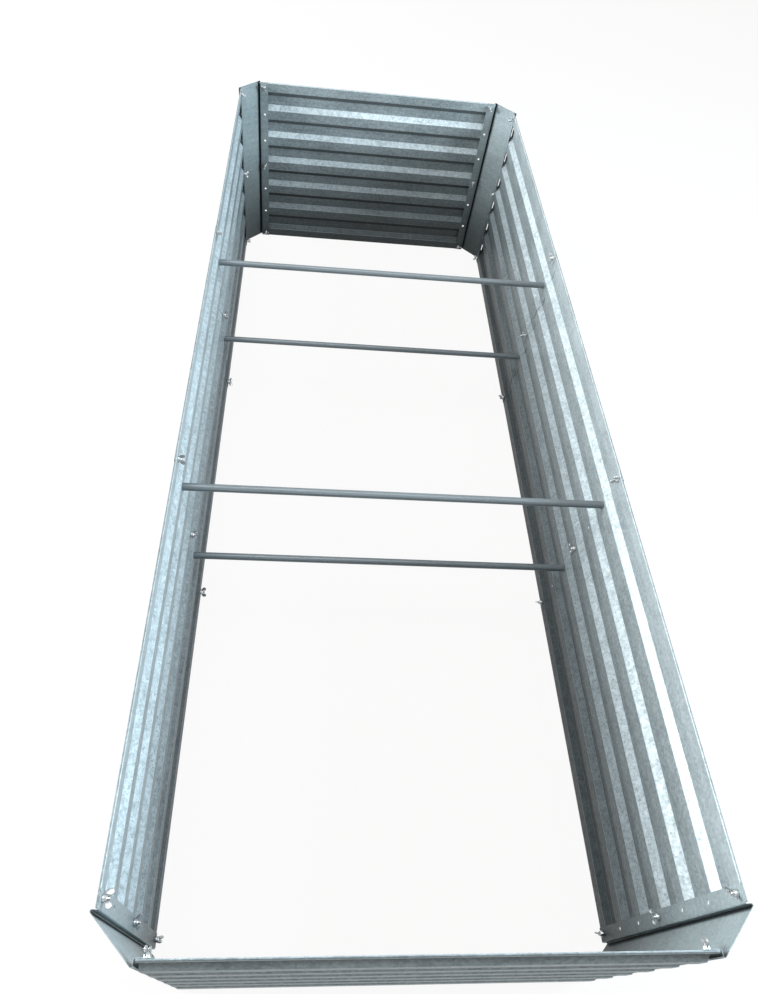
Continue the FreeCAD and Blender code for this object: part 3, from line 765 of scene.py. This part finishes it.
def set_parts(node, part, spots):
    """spots holds (wall, out, along, height, degrees about the part's own axis)."""
    places, facing = [], []
    for wall, out, along, height, degrees in spots:
        places.append(on_wall(wall, out, along, height))
        turn = quarter_turn(WALLS, wall) @ Matrix.Rotation(math.radians(degrees), 4, "X")
        facing.append(turn.to_euler("XYZ"))
    points = marked_points(f"{node}_places", places, facing)
    keep(grow(points, SET_ON_POINTS, f"fine_{node}", {"Part": part, "Finish": FASTENER_FINISH}), node)


# %% Fasteners of the corners and seams
# Degrees from upright at which each wing nut was left, from the bottom row to the top one.
WING_TURNS = {"near": (35, 110, 10), "far": (70, 20, 135), "left": (150, 65, 100), "right": (15, 80, 40)}
HEAD_TURNS = (20, 65, 5)

for end, side in CORNERS:
    y_sign, x_sign = (1 if end == "far" else -1), (1 if side == "right" else -1)
    nuts, bolts = [], []
    for wall, along in ((side, y_sign * SIDE_CORNER_COLUMN), (end, x_sign * HOLE_COLUMN)):
        for row, nut_turn, head_turn in zip(BOLTED_ROWS, WING_TURNS[wall], HEAD_TURNS):
            nuts.append((wall, -CORNER_SHEET, along, row, nut_turn))
            bolts.append((wall, PANEL_SHEET, along, row, head_turn))
    set_parts(f"corner_wing_nuts_{end}_{side}", WING_NUT, nuts)
    set_parts(f"corner_bolts_{end}_{side}", SHORT_BOLT, bolts)

for side in ("left", "right"):
    for end, y_sign in (("near", -1), ("far", 1)):
        along, nuts, bolts = y_sign * HOLE_COLUMN, [], []
        for row, nut_turn, head_turn in zip(BOLTED_ROWS, WING_TURNS[end], HEAD_TURNS):
            nuts.append((side, 0, along, row, nut_turn))
            bolts.append((side, LAP_STEP + PANEL_SHEET, along, row, head_turn))
        set_parts(f"seam_wing_nuts_{side}_{end}", WING_NUT, nuts)
        set_parts(f"seam_bolts_{side}_{end}", SHORT_BOLT, bolts)
print("each corner has", 2 * len(BOLTED_ROWS), "bolts, each seam", len(BOLTED_ROWS))

# %% [markdown]
# Each tie rod is a length of tube whose cut rims are slightly rounded. A plain cylinder would look
# solid at its ends, so the same spun profile runs along the outside and back through the bore. Its
# plugs lie inside, so the CAD plugs stay and only get a finish; its bolts come through the walls
# from outside.

# %% Tie rods
ROD_WALL, RIM, ROD_SIDES, ROD_BOLT_TURN = 1.5 * MM, 0.4 * MM, 40, 30


def make_rod(node, along):
    """The tube fills its CAD node's box across the bed; gives the height of its middle."""
    low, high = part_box(node)
    height, radius, half = (low.z + high.z) / 2, (high.z - low.z) / 2, high.x
    outer = [(-half, radius - RIM), (-half + RIM, radius), (half - RIM, radius), (half, radius - RIM)]
    inner = [(half, radius - ROD_WALL), (-half, radius - ROD_WALL)]
    shape = bmesh.new()
    turned(shape, outer + inner, ROD_SIDES, closed=True)
    rod = finish_shape(shape, f"fine_{node}")
    rod.data.transform(Matrix.Translation((0, along, height)))
    rod.data.materials.append(TUBE_FINISH)
    keep(rod, node)
    return height


for end, y_sign in (("near", -1), ("far", 1)):
    for level in ("upper", "lower"):
        along = y_sign * HOLE_COLUMN
        height = make_rod(f"tie_rod_{end}_{level}", along)
        spots = [(side, LAP_STEP + PANEL_SHEET, along, height, ROD_BOLT_TURN) for side in ("left", "right")]
        set_parts(f"rod_bolts_{end}_{level}", ROD_BOLT, spots)
        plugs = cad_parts[f"rod_plugs_{end}_{level}"]
        plugs.data.materials.clear()
        plugs.data.materials.append(TUBE_FINISH)
        print("rod", end, level, "at", round(along, 3), round(height, 3))

for part in (WING_NUT, SHORT_BOLT, ROD_BOLT):
    bpy.data.objects.remove(part)

# %% [markdown]
# The stage is a pale floor and soft studio light. Only the camera and reflections see the floor and
# the sky nearly white, by the kind of ray that meets them. To all other light the floor is dark
# grey and the sky faint, so neither lights the bed from below, and the bed's shadow stays on the
# share of the floor that is paint.

# %% Floor
FLOOR_REACH, FLOOR_PLACE = 9.0, -0.3 * MM
FLOOR_WHITE, FLOOR_BOUNCE, FLOOR_GLOW = 0.84, 0.06, 0.92
GLOW_COLOUR = (1.0, 1.0, 0.995, 1.0)
RAYS_THAT_SEE_WHITE = ("Is Camera Ray", "Is Glossy Ray", "Is Transmission Ray")


def seen_directly(finish):
    """1 for camera, glossy and transmitted rays, 0 for the light that falls on other things."""
    camera, glossy, through = [finish.node("ShaderNodeLightPath", output=name)
                               for name in RAYS_THAT_SEE_WHITE]
    return finish.pick("MINIMUM", camera + glossy + through, 1.0)


def make_floor():
    reach = FLOOR_REACH
    corners = ((-reach, -reach), (reach, -reach), (reach, reach), (-reach, reach))
    floor = new_object("floor", bpy.data.meshes.new("floor"))
    floor.data.from_pydata([(x, y, FLOOR_PLACE) for x, y in corners], [], [(0, 1, 2, 3)])
    paint = Finish("floor_white", metallic=0.0, roughness=0.9)
    seen = seen_directly(paint)
    paint.set(Base_Color=paint.mix(seen, (FLOOR_BOUNCE,) * 3, (FLOOR_WHITE,) * 3))
    glow = paint.node("ShaderNodeEmission", {}, {"Color": GLOW_COLOUR, "Strength": 1.0})
    plain = Value(paint, paint.shader.outputs[0])
    both = paint.node("ShaderNodeMixShader", {}, {0: seen * FLOOR_GLOW, 1: plain, 2: glow})
    paint.tree.links.new(both.socket, paint.tree.nodes["Material Output"].inputs["Surface"])
    floor.data.materials.append(paint.material)
    return floor


print("floor", [round(v, 1) for v in make_floor().dimensions])

# %% Sky
WORLD_LIGHT, WORLD_COLOUR, WORLD_WHITE = 0.05, (0.92, 0.96, 1.0, 1), (0.98, 0.98, 0.98, 1)


def make_world():
    world = bpy.data.worlds.new("studio")
    bpy.context.scene.world = world
    world.use_nodes = True
    nodes, links = world.node_tree.nodes, world.node_tree.links
    path = nodes.new("ShaderNodeLightPath").outputs
    plain, white = nodes["Background"], nodes.new("ShaderNodeBackground")
    plain.inputs["Color"].default_value, plain.inputs["Strength"].default_value = WORLD_COLOUR, WORLD_LIGHT
    white.inputs["Color"].default_value, white.inputs["Strength"].default_value = WORLD_WHITE, 1.0
    seen = path[RAYS_THAT_SEE_WHITE[0]]
    for name in RAYS_THAT_SEE_WHITE[1:]:
        most = nodes.new("ShaderNodeMath")
        most.operation = "MAXIMUM"
        links.new(seen, most.inputs[0])
        links.new(path[name], most.inputs[1])
        seen = most.outputs[0]
    mix = nodes.new("ShaderNodeMixShader")
    links.new(seen, mix.inputs[0])
    links.new(plain.outputs[0], mix.inputs[1])
    links.new(white.outputs[0], mix.inputs[2])
    links.new(mix.outputs[0], nodes["World Output"].inputs["Surface"])


make_world()
print("world", bpy.context.scene.world.name)

# %% [markdown]
# Two large lamps stand low at the sides, so each long wall lights up near its rim and darkens
# towards the ground, where the other wall shades it. A wide one overhead lights the slants that
# face up, and two weak ones keep the ends readable from the front and from behind.

# %% Lamps
AIM = Vector((0, 0, 0.3))


def add_lamp(name, place, size, watts, tint):
    light = bpy.data.lights.new(name, "AREA")
    light.size, light.energy, light.color = size, watts, tint
    lamp = new_object(name, light)
    lamp.location = place
    lamp.rotation_euler = (AIM - Vector(place)).to_track_quat("-Z", "Y").to_euler()
    print("lamp", name, watts, "W")


add_lamp("right", (3.2, -0.6, 2.1), 1.8, 212, (0.80, 0.92, 1.0))
add_lamp("left", (-4.4, 0.1, 1.7), 2.0, 335, (0.97, 0.99, 1.0))
add_lamp("over", (-0.6, 0.3, 4.6), 2.6, 100, (0.97, 0.99, 1.0))
add_lamp("front", (-1.0, -4.6, 1.9), 2.0, 26, (1.0, 0.99, 0.97))
add_lamp("back", (-1.5, 4.4, 2.0), 2.0, 45, (1.0, 1.0, 1.0))

# %% [markdown]
# The camera stands over the near end and looks steeply down along the bed, slightly rolled, with a
# moderately wide lens. Its place and angles come from matching the corners of the real bed.

# %% Camera
PITCH_DOWN, YAW, ROLL = 52.83, 8.72, 9.47
camera_data = bpy.data.cameras.new("camera")
camera = new_object("camera", camera_data)
bpy.context.scene.camera = camera
camera_data.sensor_width, camera_data.lens = 36, 26.103
camera_data.shift_x, camera_data.shift_y = 0.01446, -0.00406
camera.location = (-0.2076, -1.2645, 1.6485)
aim = Matrix.Rotation(math.radians(-YAW), 4, "Z") @ Matrix.Rotation(math.radians(90 - PITCH_DOWN), 4, "X")
camera.rotation_euler = (aim @ Matrix.Rotation(math.radians(ROLL), 4, "Z")).to_euler()
print("camera", [round(v, 3) for v in camera.location])

# %% Closing
bpy.context.scene.view_settings.view_transform = "Standard"
